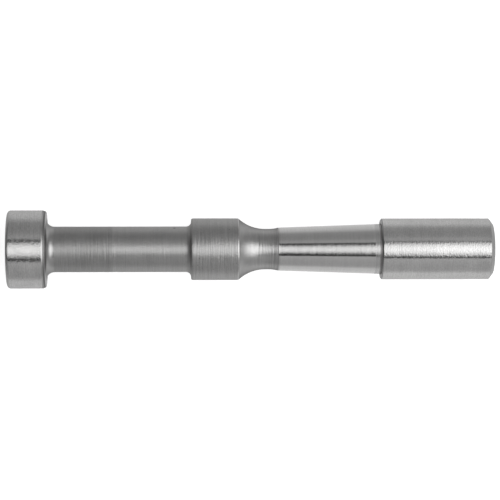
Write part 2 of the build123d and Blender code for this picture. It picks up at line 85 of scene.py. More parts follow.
# ---------------------------------------------------------------- node sheets
class NodeSheet:
    """A material's or world's node tree, with short calls for the nodes used here."""

    CURVE_TOP = 2.0  # height that the top of a curve's square stands for

    def __init__(self, tree: bpy.types.NodeTree) -> None:
        """Empties the tree and keeps it."""
        self.tree = tree
        tree.nodes.clear()

    def node(self, kind: str, **settings: object) -> bpy.types.Node:
        """Adds a node.

        Args:
            kind: the node's type name.
            settings: properties of the node to set.

        Returns:
            The node.
        """
        made = self.tree.nodes.new(kind)
        for name, value in settings.items():
            setattr(made, name, value)
        return made

    def feed(self, target: Socket, source: object) -> None:
        """Gives a socket its value.

        Args:
            target: the input socket.
            source: an output socket to link, or a plain value.
        """
        if isinstance(source, Socket):
            self.tree.links.new(source, target)
        else:
            target.default_value = source

    def fed(self, kind: str, sources: tuple[object, ...], **settings: object) -> Socket:
        """Adds a node and gives its first inputs their values.

        Args:
            kind: the node's type name.
            sources: sockets or plain values, in the order of the inputs.
            settings: properties of the node to set.

        Returns:
            Its first output.
        """
        made = self.node(kind, **settings)
        for target, source in zip(made.inputs, sources):
            self.feed(target, source)
        return made.outputs[0]

    def math(self, operation: str, *values: object) -> Socket:
        """A Math node's result, from sockets or numbers in order."""
        return self.fed("ShaderNodeMath", values, operation=operation)

    def remap(self, value: object, old: Point, new: Point) -> Socket:
        """Carries a value from one range to another, held at both ends."""
        return self.fed("ShaderNodeMapRange", (value, *old, *new))

    def vector(self, x: object, y: object, z: object) -> Socket:
        """Three numbers or sockets as one vector."""
        return self.fed("ShaderNodeCombineXYZ", (x, y, z))

    def object_place(self) -> Socket:
        """The object's own coordinates."""
        return self.node("ShaderNodeTexCoord").outputs["Object"]

    def apart(self, vector: Socket) -> list[Socket]:
        """The three numbers of a vector.

        Args:
            vector: the vector's socket.

        Returns:
            Its x, y and z.
        """
        made = self.node("ShaderNodeSeparateXYZ")
        self.feed(made.inputs[0], vector)
        return list(made.outputs)

    def noise(self, place: Socket, scale: float, detail: float, roughness: float = 0.55) -> Socket:
        """Grey noise from 0 to 1.

        Args:
            place: the coordinates.
            scale: how many features there are to a unit.
            detail: octaves.
            roughness: share of each finer octave.

        Returns:
            The grey socket.
        """
        made = self.node("ShaderNodeTexNoise")
        for name, source in (
            ("Vector", place), ("Scale", scale), ("Detail", detail), ("Roughness", roughness),
        ):
            self.feed(made.inputs[name], source)
        return made.outputs["Fac"]

    def mix(self, share: object, first: object, second: object) -> Socket:
        """Blends two colours.

        Args:
            share: 0 for the first, 1 for the second.
            first: colour or socket.
            second: colour or socket.

        Returns:
            The colour socket.
        """
        made = self.node("ShaderNodeMix", data_type="RGBA")
        for number, source in ((0, share), (6, first), (7, second)):
            self.feed(made.inputs[number], source)
        return made.outputs[2]

    def bump(self, height: Socket, distance: float, under: Socket | None = None) -> Socket:
        """Raises a height pattern off the surface.

        Args:
            height: grey socket.
            distance: metres that a height of 1 stands for.
            under: normal that this one adds to.

        Returns:
            The normal socket.
        """
        made = self.node("ShaderNodeBump")
        made.inputs["Strength"].default_value = 1.0
        made.inputs["Distance"].default_value = distance
        self.feed(made.inputs["Height"], height)
        if under is not None:
            self.feed(made.inputs["Normal"], under)
        return made.outputs[0]

    def curve(self, angle: Socket, span: float, marks: Marks) -> Socket:
        """A curve of straight runs over an angle.

        Args:
            angle: the angle in radians.
            span: degrees that the curve covers on each side of zero.
            marks: (degrees, height) of its points.

        Returns:
            The height, up to CURVE_TOP.
        """
        share = self.math("MULTIPLY_ADD", angle, 0.5 / math.radians(span), 0.5)
        made = self.node("ShaderNodeFloatCurve")
        self.feed(made.inputs["Value"], share)
        line = made.mapping.curves[0]
        for number, (degrees, height) in enumerate(marks):
            place = (0.5 + 0.5 * degrees / span, height / self.CURVE_TOP)
            if number < len(line.points):
                line.points[number].location = place
            else:
                line.points.new(*place)
        for point in line.points:
            point.handle_type = "VECTOR"
        made.mapping.update()
        return self.math("MULTIPLY", made.outputs[0], self.CURVE_TOP)

    def surface(self, inputs: dict[str, object]) -> None:
        """Adds a Principled shader on the material's output.

        Args:
            inputs: a socket or a plain value for each input that isn't left as it is.
        """
        shader = self.node("ShaderNodeBsdfPrincipled")
        for name, source in inputs.items():
            self.feed(shader.inputs[name], source)
        output = self.node("ShaderNodeOutputMaterial")
        self.feed(output.inputs["Surface"], shader.outputs[0])


def tint(grey: float, warmth: float = 0.0) -> tuple[float, float, float, float]:
    """A near-neutral colour: warmth lifts red and lowers blue by that share."""
    return (grey * (1 + warmth), grey, grey * (1 - warmth), 1.0)


def shade(base: Vector, share: float) -> tuple[float, float, float, float]:
    """A share of a colour, with alpha 1."""
    return tuple(base * share) + (1.0,)


def empty_material(label: str) -> tuple[bpy.types.Material, NodeSheet]:
    """A new material and its empty node sheet.

    Args:
        label: the material's name.

    Returns:
        The material and the sheet.
    """
    made = bpy.data.materials.new(label)
    made.use_nodes = True
    return made, NodeSheet(made.node_tree)


# ---------------------------------------------------------------- finishes
RADIUS_SHARE = 1.7  # how much a step outwards counts beside a step along the axis
NOISE_SPREAD = (4.0, -2.0)  # factor and offset that carry grey noise to about -1 to 1
LINE_LENGTH = 14.0 * MM  # of a tool line round the axis
GRAIN_LENGTH = 1.8  # of a grain round the axis, in its pitches
STAINS = 130.0  # to a metre
SHADES = (0.5, 1.5)  # shares of the colour where it is darkest and lightest
PIT_EDGE = (0.09, 0.05)  # distance from a cell's centre where a pit starts and where it is full
PIT_HEIGHT = -0.02 * MM
PIT_SHADE = 0.35  # share of the colour that is left in a pit


@dataclass(frozen=True)
class MachinedFinish:
    """Metal with tool lines that run round the axis, short waves, grain, stains and pits.

    Every pattern is noise. Tool lines, waves and grain read x + RADIUS_SHARE times r, where r is
    the distance from the axis, so they are rings on a cylinder, a cone and an end face alike. A
    relief's height is the slope given here times its pitch, or for waves times their length.

    Attributes:
        name: the material's name.
        grey: how much light comes straight back.
        warmth: share by which red is above and blue below the grey.
        colour: a colour to use in place of the grey.
        roughness: spread of the gloss.
        stretch: how much wider the gloss spreads across the tool lines than along them.
        rim: how much is left of the gloss where the surface turns edge on.
        lines: pitch, slope and share of light and dark of the tool lines.
        waves: pitch along the axis, length round it and slope of the waves that grinding leaves.
        grain: size, slope and share of light and dark of the grain.
        stain: share of light and dark of broad stains.
        pits: how many cells with a pit there are to a metre, 0 for none.
    """

    name: str
    grey: float = 0.5
    warmth: float = 0.006
    colour: Triple | None = None
    roughness: float = 0.3
    stretch: float = 0.0
    rim: float = 0.85
    lines: Triple = (0.35 * MM, 0.02, 0.06)
    waves: Triple = (0.9 * MM, 3.0 * MM, 0.0)
    grain: Triple = (0.3 * MM, 0.02, 0.03)
    stain: float = 0.05
    pits: float = 0.0

    def material(self, along_outline: bool) -> bpy.types.Material:
        """Builds the finish.

        Args:
            along_outline: whether the piece has the outline's own UV map, which the stretch of
                the gloss across the tool lines needs.

        Returns:
            The material.
        """
        label = f"{self.name}_turned" if along_outline else self.name
        if label in bpy.data.materials:
            return bpy.data.materials[label]
        made, sheet = empty_material(label)
        place = sheet.object_place()
        lines, grain, stain, waves = self.patterns(sheet, place)
        base = Vector(self.colour or tint(self.grey, self.warmth)[:3])
        tone = sheet.math("MULTIPLY_ADD", lines, self.lines[2], 1.0)
        tone = sheet.math("MULTIPLY_ADD", grain, self.grain[2], tone)
        tone = sheet.math("MULTIPLY_ADD", stain, self.stain, tone)
        lightness = sheet.math("SUBTRACT", tone, SHADES[0])
        colour = sheet.mix(lightness, shade(base, SHADES[0]), shade(base, SHADES[1]))
        rough = sheet.math("MULTIPLY_ADD", lines, self.roughness * self.lines[2], self.roughness)
        rough = sheet.math("MULTIPLY_ADD", stain, self.roughness * self.stain, rough)
        normal = sheet.bump(lines, self.lines[0] * self.lines[1])
        normal = sheet.bump(grain, self.grain[0] * self.grain[1], normal)
        if self.waves[2]:
            normal = sheet.bump(waves, self.waves[1] * self.waves[2], normal)
        if self.pits:
            pit = self.pit_mask(sheet, place)
            colour = sheet.mix(pit, colour, shade(base, PIT_SHADE))
            normal = sheet.bump(pit, PIT_HEIGHT, normal)
        inputs = {
            "Base Color": colour, "Roughness": rough, "Normal": normal,
            "Metallic": 1.0, "Specular Tint": tint(self.rim),
        }
        if along_outline and self.stretch:
            tangent = sheet.node("ShaderNodeTangent", direction_type="UV_MAP", uv_map=Lathe.UV)
            inputs |= {"Anisotropic": self.stretch, "Tangent": tangent.outputs[0]}
        sheet.surface(inputs)
        return made

    def patterns(self, sheet: NodeSheet, place: Socket) -> tuple[Socket, ...]:
        """The four patterns, each from about -1 to 1.

        Args:
            sheet: the material's nodes.
            place: object coordinates.

        Returns:
            Tool lines, grain, broad stains and waves.
        """
        x, y, z = sheet.apart(place)
        squares = sheet.math("ADD", sheet.math("MULTIPLY", y, y), sheet.math("MULTIPLY", z, z))
        run = sheet.math("MULTIPLY_ADD", sheet.math("SQRT", squares), RADIUS_SHARE, x)

        def even(coordinates: Socket, *noise: float) -> Socket:
            """Noise spread to about -1 to 1."""
            return sheet.math("MULTIPLY_ADD", sheet.noise(coordinates, *noise), *NOISE_SPREAD)

        def ringed(pitch: float, length: float) -> Socket:
            """Coordinates with a fine pitch across the rings and a longer one along them."""
            pairs = ((run, pitch), (y, length), (z, length))
            return sheet.vector(*(sheet.math("DIVIDE", *pair) for pair in pairs))

        return (
            even(ringed(self.lines[0], LINE_LENGTH), 1.0, 2.0, 0.6),
            even(ringed(self.grain[0], GRAIN_LENGTH * self.grain[0]), 1.0, 1.5),
            even(place, STAINS, 4.0, 0.6),
            even(ringed(*self.waves[:2]), 1.0, 2.0, 0.5),
        )

    def pit_mask(self, sheet: NodeSheet, place: Socket) -> Socket:
        """A few small round pits.

        Args:
            sheet: the material's nodes.
            place: object coordinates.

        Returns:
            1 inside a pit and 0 outside.
        """
        cells = sheet.node("ShaderNodeTexVoronoi")
        sheet.feed(cells.inputs["Vector"], place)
        cells.inputs["Scale"].default_value = self.pits
        return sheet.remap(cells.outputs["Distance"], PIT_EDGE, (0.0, 1.0))


@dataclass(frozen=True)
class MouldedFinish:
    """Rubber or polyamide: even colour with soft mottling, a matt skin and fine moulded grain.

    Attributes:
        name: the material's name.
        colour: its mean colour.
        roughness: its mean roughness.
        grain_size: pitch of the moulded grain.
        grain_depth: its height.
        mottles: how many soft mottles there are to a metre.
        colour_swing: share by which the colour goes up and down.
        gloss_swing: how far the roughness goes up and down.
    """

    name: str
    colour: Triple
    roughness: float
    grain_size: float = 0.12 * MM
    grain_depth: float = 0.002 * MM
    mottles: float = 400.0
    colour_swing: float = 0.18
    gloss_swing: float = 0.08

    def material(self, along_outline: bool) -> bpy.types.Material:
        """Builds the finish.

        Args:
            along_outline: ignored, as a moulded skin has no tool lines.

        Returns:
            The material.
        """
        if self.name in bpy.data.materials:
            return bpy.data.materials[self.name]
        made, sheet = empty_material(self.name)
        place = sheet.object_place()
        mottle = sheet.noise(place, self.mottles, 3.0)
        grain = sheet.noise(place, 1.0 / self.grain_size, 2.0)
        base = Vector(self.colour)
        dark, light = shade(base, 1 - self.colour_swing), shade(base, 1 + self.colour_swing)
        gloss = (self.roughness - self.gloss_swing, self.roughness + self.gloss_swing)
        sheet.surface({
            "Base Color": sheet.mix(mottle, dark, light),
            "Roughness": sheet.remap(mottle, (0.0, 1.0), gloss),
            "Normal": sheet.bump(grain, self.grain_depth),
        })
        return made


class Skin(Enum):
    """Every finish on the object."""

    GROUND = MachinedFinish(
        "ground_steel", 0.62, roughness=0.14, stretch=0.3, rim=0.72, lines=(0.25 * MM, 0.02, 0.05),
        waves=(1.1 * MM, 1.0 * MM, 0.005), grain=(0.5 * MM, 0.018, 0.06), stain=0.08,
    )
    TAPER = MachinedFinish(
        "ground_taper", 0.61, roughness=0.12, stretch=0.3, rim=1.0, lines=(0.25 * MM, 0.015, 0.04),
        waves=(1.2 * MM, 5.0 * MM, 0.0012), grain=(0.4 * MM, 0.008, 0.03), stain=0.04,
    )
    GROUND_HEAD = MachinedFinish(
        "ground_pull_head", 0.62, roughness=0.17, stretch=0.3, rim=0.8,
        lines=(0.3 * MM, 0.02, 0.05), waves=(1.1 * MM, 1.0 * MM, 0.005),
        grain=(0.55 * MM, 0.02, 0.06), stain=0.08,
    )
    SHANK = MachinedFinish(
        "turned_shank", 0.43, roughness=0.41, stretch=0.3, rim=0.75, lines=(0.6 * MM, 0.04, 0.06),
        grain=(0.35 * MM, 0.03, 0.05), stain=0.07, pits=150.0,
    )
    SHANK_REAR = MachinedFinish(
        "turned_shank_rear", 0.385, roughness=0.48, stretch=0.3, rim=0.75,
        lines=(0.8 * MM, 0.05, 0.08), grain=(0.35 * MM, 0.03, 0.05), stain=0.07,
    )
    COLLAR = MachinedFinish(
        "turned_collar", 0.45, roughness=0.38, stretch=0.35, rim=0.75, lines=(0.7 * MM, 0.06, 0.09),
        grain=(0.35 * MM, 0.05, 0.08), stain=0.08, pits=420.0,
    )
    NECK = MachinedFinish(
        "turned_neck", 0.47, roughness=0.33, stretch=0.3, rim=0.4, lines=(0.9 * MM, 0.06, 0.12),
        grain=(0.3 * MM, 0.03, 0.05), stain=0.06,
    )
    FILLET = MachinedFinish(
        "fine_turned_fillet", 0.43, roughness=0.30, rim=0.5, lines=(0.2 * MM, 0.03, 0.05),
    )
    SKIMMED = MachinedFinish(
        "skimmed_ring", 0.58, roughness=0.24, rim=0.8, lines=(0.3 * MM, 0.03, 0.08), stain=0.05,
    )
    # painted shade: a dark colour on the pull head's chamfer in place of the dark reflection it
    # shows
    CHAMFER_PAINTED_SHADE = MachinedFinish(
        "dark_chamfer", 0.23, roughness=0.50, lines=(0.2 * MM, 0.03, 0.10),
    )
    CHAMFER = MachinedFinish("chamfer_steel", 0.42, roughness=0.24, lines=(0.2 * MM, 0.03, 0.06))
    GROUND_BORE = MachinedFinish("ground_bore", 0.5, roughness=0.15, lines=(0.15 * MM, 0.02, 0.05))
    # painted shade: a dark colour on narrow edge breaks, hole chamfers and a thin line on the
    # shank, in place of their shade and dark reflections
    EDGE_PAINTED_SHADE = MachinedFinish("turned_edge", 0.20, roughness=0.32, lines=(0.2 * MM, 0.02, 0.06))
    FACED = MachinedFinish(
        "faced_steel", 0.40, roughness=0.30, stretch=0.4, lines=(0.28 * MM, 0.06, 0.10), stain=0.07,
    )
    BORED = MachinedFinish("bored_steel", 0.36, roughness=0.30, lines=(0.2 * MM, 0.04, 0.08))
    RACE = MachinedFinish("race_steel", 0.58, roughness=0.16, lines=(0.12 * MM, 0.01, 0.04))
    BALL = MachinedFinish(
        "lapped_steel", 0.66, roughness=0.06, lines=(0.2 * MM, 0.0, 0.02),
        grain=(0.1 * MM, 0.004, 0.02),
    )
    SPRING = MachinedFinish(
        "blued_steel", 0.12, -0.05, roughness=0.34, lines=(0.2 * MM, 0.03, 0.10), stain=0.15,
    )
    SHEET = MachinedFinish("pressed_sheet", 0.48, roughness=0.26, lines=(0.3 * MM, 0.01, 0.05))
    PHOSPHATED = MachinedFinish(
        "phosphated_sheet", 0.20, 0.03, roughness=0.48, grain=(0.15 * MM, 0.08, 0.15), stain=0.12,
    )
    BRASS = MachinedFinish(
        "turned_brass", colour=(0.72, 0.47, 0.16), roughness=0.24, lines=(0.2 * MM, 0.03, 0.08),
    )
    POLYAMIDE = MouldedFinish("moulded_polyamide", (0.72, 0.65, 0.50), 0.45)
    RUBBER = MouldedFinish("seal_rubber", (0.022, 0.022, 0.024), 0.55)


# ---------------------------------------------------------------- turned shapes
@dataclass(frozen=True)
class Corner:
    """A corner of an outline, in metres.

    Attributes:
        x: place along the axis.
        r: distance from the axis.
        round: radius of the corner, 0 for none.
        skin: finish of the stretch that leaves the corner.
        hollow: radius of the hollow arc that leads to the next corner, 0 for a straight stretch.
    """

    x: float
    r: float
    round: float
    skin: Skin
    hollow: float = 0.0


def stretch(skin: Skin, *places: tuple[float, ...]) -> list[Corner]:
    """Corners of one finish, from each one's x, r and, where it is rounded, its radius."""
    return [Corner(x, r, *(size or (0.0,)), skin) for x, r, *size in places]


@dataclass
class Soup:
    """Loose four-cornered faces.

    Attributes:
        places: (faces, 4, 3) places of the corners.
        normals: (faces, 4, 3) normals there.
        maps: (faces, 4, 2) places there in the outline's map.
        skins: the finishes.
        skin_of_face: each face's number in that list.
    """

    places: np.ndarray
    normals: np.ndarray
    maps: np.ndarray
    skins: list[Skin]
    skin_of_face: np.ndarray

    @staticmethod
    def joined(parts: list["Soup"]) -> "Soup":
        """Puts several soups into one, with one list of finishes.

        Args:
            parts: the soups.

        Returns:
            The one soup.
        """
        skins = list(dict.fromkeys(skin for part in parts for skin in part.skins))
        numbers = [np.array([skins.index(skin) for skin in part.skins]) for part in parts]
        return Soup(
            np.concatenate([part.places for part in parts]),
            np.concatenate([part.normals for part in parts]),
            np.concatenate([part.maps for part in parts]),
            skins,
            np.concatenate([new[part.skin_of_face] for new, part in zip(numbers, parts)]),
        )


class Outline:
    """An outline of straight stretches and round corners in the (x, radius) half plane.

    The metal lies to the right of the outline's direction, so its outward normal is the direction
    turned a quarter turn to the left: (-dr, dx).
    """

    def __init__(self, corners: list[Corner], closed: bool = False) -> None:
        """Traces the corners.

        Args:
            corners: the corners in order.
            closed: whether the last corner joins the first.
        """
        self.corners = corners
        self.closed = closed
        self.points: list[tuple[float, ...]] = []
        self.starts: list[Point] = []
        self.ends: list[Point] = []
        self.skins: list[Skin] = []
        self.trace()

    def ends_of_round(self, number: int) -> tuple[np.ndarray, np.ndarray, np.ndarray, float]:
        """Where a corner's round begins and ends.

        The tangent length is radius times tan(half the turn), and the centre is the start moved by
        one radius to the side that the outline turns to.

        Args:
            number: the corner's number.

        Returns:
            Start, end and centre of the round, and the signed turn in radians.
        """
        corner = self.corners[number]
        here = np.array((corner.x, corner.r))
        last = self.corners[number - 1]
        following = self.corners[(number + 1) % len(self.corners)]
        into = here - np.array((last.x, last.r))
        out = np.array((following.x, following.r)) - here
        into, out = into / np.linalg.norm(into), out / np.linalg.norm(out)
        turn = math.atan2(into[0] * out[1] - into[1] * out[0], float(into @ out))
        tangent = corner.round * math.tan(abs(turn) / 2)
        side = math.copysign(1.0, turn)
        centre = here - into * tangent + side * corner.round * np.array((-into[1], into[0]))
        return here - into * tangent, here + out * tangent, centre, turn

    def trace(self) -> None:
        """Fills in the points, and each facet's normals and finish."""
        count = len(self.corners)
        stops = [self.ends_of_round(n) if c.round > 0 else None for n, c in enumerate(self.corners)]
        first = 0 if self.closed else 1
        last = self.corners[first - 1]
        pen = stops[first - 1][1] if stops[first - 1] else np.array((last.x, last.r))
        for number in range(first, count):
            corner, stop = self.corners[number], stops[number]
            here = np.array((corner.x, corner.r))
            target = stop[0] if stop else here
            if last.hollow > 0:
                self.hollow(pen, target, last)
            else:
                self.straight(pen, target, last.skin)
            if stop:
                self.arc(stop[0], stop[2], stop[3], corner.round, corner.skin)
            pen, last = (stop[1] if stop else here), corner

    def hollow(self, start: np.ndarray, end: np.ndarray, corner: Corner) -> None:
        """Adds a hollow arc between two places.

        Its centre is on the outer side of the chord, sqrt(R^2 - (chord / 2)^2) from its middle.

        Args:
            start: where it starts.
            end: where it ends.
            corner: the corner that it leaves, with its radius and finish.
        """
        chord = end - start
        span = float(np.linalg.norm(chord))
        outward = np.array((-chord[1], chord[0])) / span
        centre = (start + end) / 2 + outward * math.sqrt(corner.hollow**2 - (span / 2) ** 2)
        self.arc(start, centre, 2 * math.asin(span / 2 / corner.hollow), corner.hollow, corner.skin)

    def facet(self, ends: Pair, normals: Pair, skin: Skin) -> None:
        """Adds one facet.

        Args:
            ends: its two ends.
            normals: the normals there.
            skin: its finish.
        """
        self.points.append((*ends[0], *ends[1]))
        self.starts.append(tuple(normals[0]))
        self.ends.append(tuple(normals[1]))
        self.skins.append(skin)

    def straight(self, start: np.ndarray, end: np.ndarray, skin: Skin) -> None:
        """Adds a straight stretch, cut into facets no longer than LONGEST_FACET.

        Args:
            start: where it starts.
            end: where it ends.
            skin: its finish.
        """
        length = float(np.linalg.norm(end - start))
        if length < WELD:
            return
        along = (end - start) / length
        normal = np.array((-along[1], along[0]))
        steps = max(1, math.ceil(length / LONGEST_FACET))
        marks = [start + (end - start) * share for share in np.linspace(0, 1, steps + 1)]
        for pair in zip(marks[:-1], marks[1:]):
            self.facet(pair, (normal, normal), skin)

    def arc(
        self, start: np.ndarray, centre: np.ndarray, turn: float, size: float, skin: Skin,
    ) -> None:
        """Adds facets round an arc: the start is swung round the centre by equal parts of the turn.

        Args:
            start: where it starts.
            centre: what it turns about.
            turn: the signed turn in radians, positive to the left.
            size: its radius.
            skin: its finish.
        """
        steps = max(2, math.ceil(abs(turn) / ARC_STEP))
        spoke = start - centre
        swing = np.linspace(0, turn, steps + 1)[:, None]
        across = np.array((-spoke[1], spoke[0]))
        spokes = spoke * np.cos(swing) + across * np.sin(swing)
        sign = -math.copysign(1.0, turn)
        for first, second in zip(spokes[:-1], spokes[1:]):
            normals = (sign * first / size, sign * second / size)
            self.facet((centre + first, centre + second), normals, skin)


class Lathe:
    """Carries outlines round the X axis and makes meshes of them."""

    UV = "outline"

    @staticmethod
    def turn(outline: Outline, around: int = AROUND) -> Soup:
        """The surface that an outline sweeps round the axis.

        A point (x, r) goes to (x, r cos a, r sin a) and a normal (nx, nr) to
        (nx, nr cos a, nr sin a) for each angle a.

        Args:
            outline: the outline.
            around: number of facets round the axis.

        Returns:
            The faces.
        """
        facets = np.array(outline.points)
        ends = facets.reshape(-1, 2, 2)
        normals = np.stack([np.array(outline.starts), np.array(outline.ends)], axis=1)
        angle = np.linspace(0, 2 * np.pi, around + 1)
        length = np.linalg.norm(ends[:, 1] - ends[:, 0], axis=1)
        run = np.concatenate([[0.0], np.cumsum(length)]) / length.sum()
        ring = np.stack([np.cos(angle), np.sin(angle)], axis=1)

        def swept(flat: np.ndarray) -> np.ndarray:
            """Turns (facets, 2, 2) pairs into (facets, 2, around + 1, 3) places."""
            along = np.broadcast_to(flat[:, :, None, :1], (*flat.shape[:2], around + 1, 1))
            return np.concatenate([along, flat[:, :, None, 1:] * ring], axis=3)

        def corners(pairs: np.ndarray) -> np.ndarray:
            """The four corners of each face, in an order whose normal points outwards.

            Args:
                pairs: (facets, 2, around + 1, numbers) values at the facets' ends.

            Returns:
                (faces, 4, numbers) values.
            """
            first, second = pairs[:, 0], pairs[:, 1]
            faces = np.stack([first[:, :-1], first[:, 1:], second[:, 1:], second[:, :-1]], axis=2)
            return faces.reshape(-1, 4, faces.shape[-1])

        u = np.stack([run[:-1], run[1:]], axis=1)[:, :, None]
        u = np.broadcast_to(u, (len(ends), 2, around + 1))
        v = np.broadcast_to(angle / (2 * np.pi), u.shape)
        skins = list(dict.fromkeys(outline.skins))
        skin_of_facet = np.array([skins.index(skin) for skin in outline.skins])
        return Soup(
            corners(swept(ends)), corners(swept(normals)), corners(np.stack([u, v], axis=3)),
            skins, np.repeat(skin_of_facet, around),
        )

    @staticmethod
    def mesh(name: str, soup: Soup) -> bpy.types.Object:
        """Welds the faces into one mesh object.

        Corners closer than WELD become one vertex, and a face with two corners on the axis
        becomes a triangle.

        Args:
            name: the piece's name.
            soup: its faces.

        Returns:
            The object, at the origin, with its normals and map.
        """
        keys = np.round(soup.places.reshape(-1, 3) / WELD).astype(np.int64)
        _, first, index = np.unique(keys, axis=0, return_index=True, return_inverse=True)
        index = index.reshape(-1, 4)
        places = soup.places.reshape(-1, 3)[first]
        kept = index != np.roll(index, 1, axis=1)
        whole = kept.sum(axis=1) >= 3
        index, kept = index[whole], kept[whole]
        starts = np.concatenate([[0], np.cumsum(kept.sum(axis=1))[:-1]])
        data = bpy.data.meshes.new(name)
        data.vertices.add(len(places))
        data.vertices.foreach_set("co", places.ravel())
        data.loops.add(int(kept.sum()))
        data.loops.foreach_set("vertex_index", index[kept].astype(np.int32))
        data.polygons.add(len(index))
        data.polygons.foreach_set("loop_start", starts.astype(np.int32))
        data.polygons.foreach_set("material_index", soup.skin_of_face[whole].astype(np.int32))
        layer = data.uv_layers.new(name=Lathe.UV)
        layer.data.foreach_set("uv", soup.maps[whole][kept].ravel())
        data.update(calc_edges=True)
        data.validate()
        data.normals_split_custom_set(soup.normals[whole][kept].tolist())
        made = bpy.data.objects.new(name, data)
        bpy.context.scene.collection.objects.link(made)
        for skin in soup.skins:
            data.materials.append(skin.value.material(along_outline=True))
        return made


def mount(name: str) -> dict:
    """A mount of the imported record, by name."""
    return next(m for m in frame["record"]["mounts"] if m["name"] == name)


def reach(name: str) -> Point:
    """Where a round mount's plain cylinder begins and ends along the axis.

    Args:
        name: the mount's name.

    Returns:
        The two places.
    """
    found = mount(name)
    half = found["dims"]["length_mm"] * MM / 2
    return found["pos_m"][0] - half, found["pos_m"][0] + half


def radius(name: str) -> float:
    """A round mount's radius in metres."""
    return mount(name)["dims"]["r_mm"] * MM


def publish(piece: bpy.types.Object, node: str, body: str) -> None:
    """Hides the CAD node that a finished piece stands for and puts the piece on its body.

    Args:
        piece: the object.
        node: the CAD node that it stands for.
        body: the body that it rides on.
    """
    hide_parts(node)
    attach(piece, body)
    LOG.info("%s: %d faces on %s", piece.name, len(piece.data.polygons), body)


# ---------------------------------------------------------------- the object's sub-assemblies
@dataclass
class TurnedPiece:
    """A piece whose surface is swept from outlines; each kind gives its own outlines.

    Attributes:
        name: the piece's name.
        node: the CAD node that it stands for.
        body: the body that it rides on.
        slot: the record's material slot; not used.
    """

    name: str
    node: str
    body: str
    slot: str

    def outlines(self) -> list[Outline]:
        """The outlines to sweep."""
        raise NotImplementedError

    def extras(self) -> list[Soup]:
        """Surfaces that aren't swept."""
        return []

    def build(self) -> bpy.types.Object:
        """Makes the piece, hides its CAD node and puts the piece on its body.

        Returns:
            The object.
        """
        soup = Soup.joined([Lathe.turn(outline) for outline in self.outlines()] + self.extras())
        made = Lathe.mesh(self.name, soup)
        publish(made, self.node, self.body)
        return made


@dataclass
class CentreHole:
    """A drilled and countersunk hole on the axis.

    Attributes:
        face_x: the face that it is in.
        inwards: +1 or -1, the way it goes along the axis.
        pilot: the drilled hole's radius.
        cone_depth: depth of the 60 degree cone.
        pilot_depth: from the cone's end to the drill's point.
        rim: size of the small chamfer round its mouth.
        rim_shares: how much of that size the chamfer takes along the axis and outwards.
        half_cone: half the angle of the cone and of the drill's point.
    """

    face_x: float
    inwards: int
    pilot: float
    cone_depth: float
    pilot_depth: float
    rim: float
    rim_shares: Point = (0.6, 0.5)
    half_cone: float = math.radians(30)

    def corners(self) -> list[Corner]:
        """The corners from the point on the axis out to the mouth.

        Returns:
            The corners.
        """
        slope = math.tan(self.half_cone)
        cone_end = self.face_x + self.inwards * self.cone_depth
        point = cone_end + self.inwards * self.pilot_depth
        rim_x, rim_r = self.rim * self.rim_shares[0], self.rim * self.rim_shares[1]
        wide = self.pilot + (self.cone_depth - rim_x) * slope
        drilled = (point, 0.0), (point - self.inwards * self.pilot * slope, self.pilot)
        return [
            *stretch(Skin.BORED, *drilled),
            Corner(cone_end, self.pilot, 0, Skin.GROUND_BORE),
            # the mouth's small chamfer has painted shade
            Corner(self.face_x + self.inwards * rim_x, wide, 0, Skin.EDGE_PAINTED_SHADE),
            Corner(self.face_x, self.pilot + self.cone_depth * slope + rim_r, 0, Skin.FACED),
        ]


